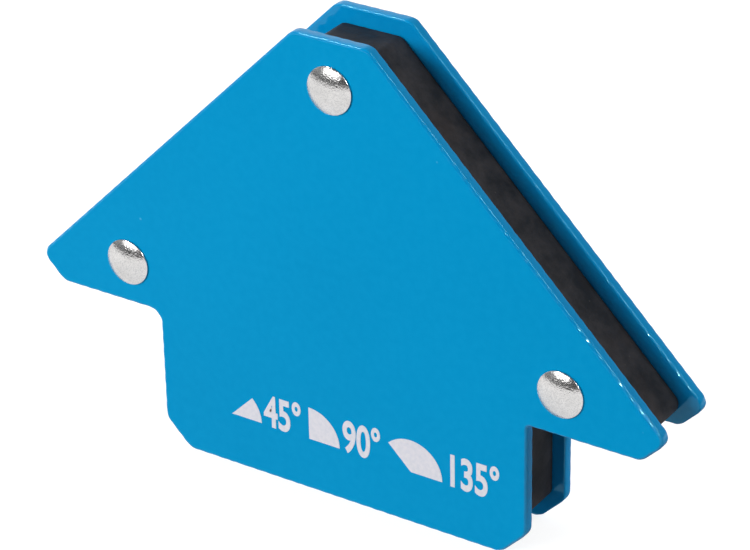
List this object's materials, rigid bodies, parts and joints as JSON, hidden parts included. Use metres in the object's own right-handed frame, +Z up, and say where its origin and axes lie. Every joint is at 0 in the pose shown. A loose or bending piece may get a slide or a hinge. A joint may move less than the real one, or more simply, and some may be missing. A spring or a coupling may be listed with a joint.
{
  "type": "magnetic welding holder",
  "caption": "Flat arrow-shaped magnetic holder: painted steel side plates riveted over a recessed black spacer with magnets inside, whose straight edges hold steel work square or at a mitre.",
  "frame": {"origin": "middle of the bottom edge, halfway through the thickness; the base edges lie on z = 0", "axes": "+Z up towards the arrow's point, +X to the right as the printed front plate is seen, -Y out of that front plate"},
  "size_m": [0.1188, 0.0178, 0.083],
  "materials": {
    "blue_paint": "gloss",
    "black_plastic": "matte",
    "ferrite": "matte",
    "zinc": "satin",
    "white_print": "satin"
  },
  "bodies": {
    "root": {"front_plate": "blue_paint", "rear_plate": "blue_paint", "spacer_frame": "black_plastic", "magnet_left": "ferrite", "magnet_right": "ferrite", "magnet_top": "ferrite", "rivet_top": "zinc", "rivet_left": "zinc", "rivet_right": "zinc"}
  },
  "joints": []
}
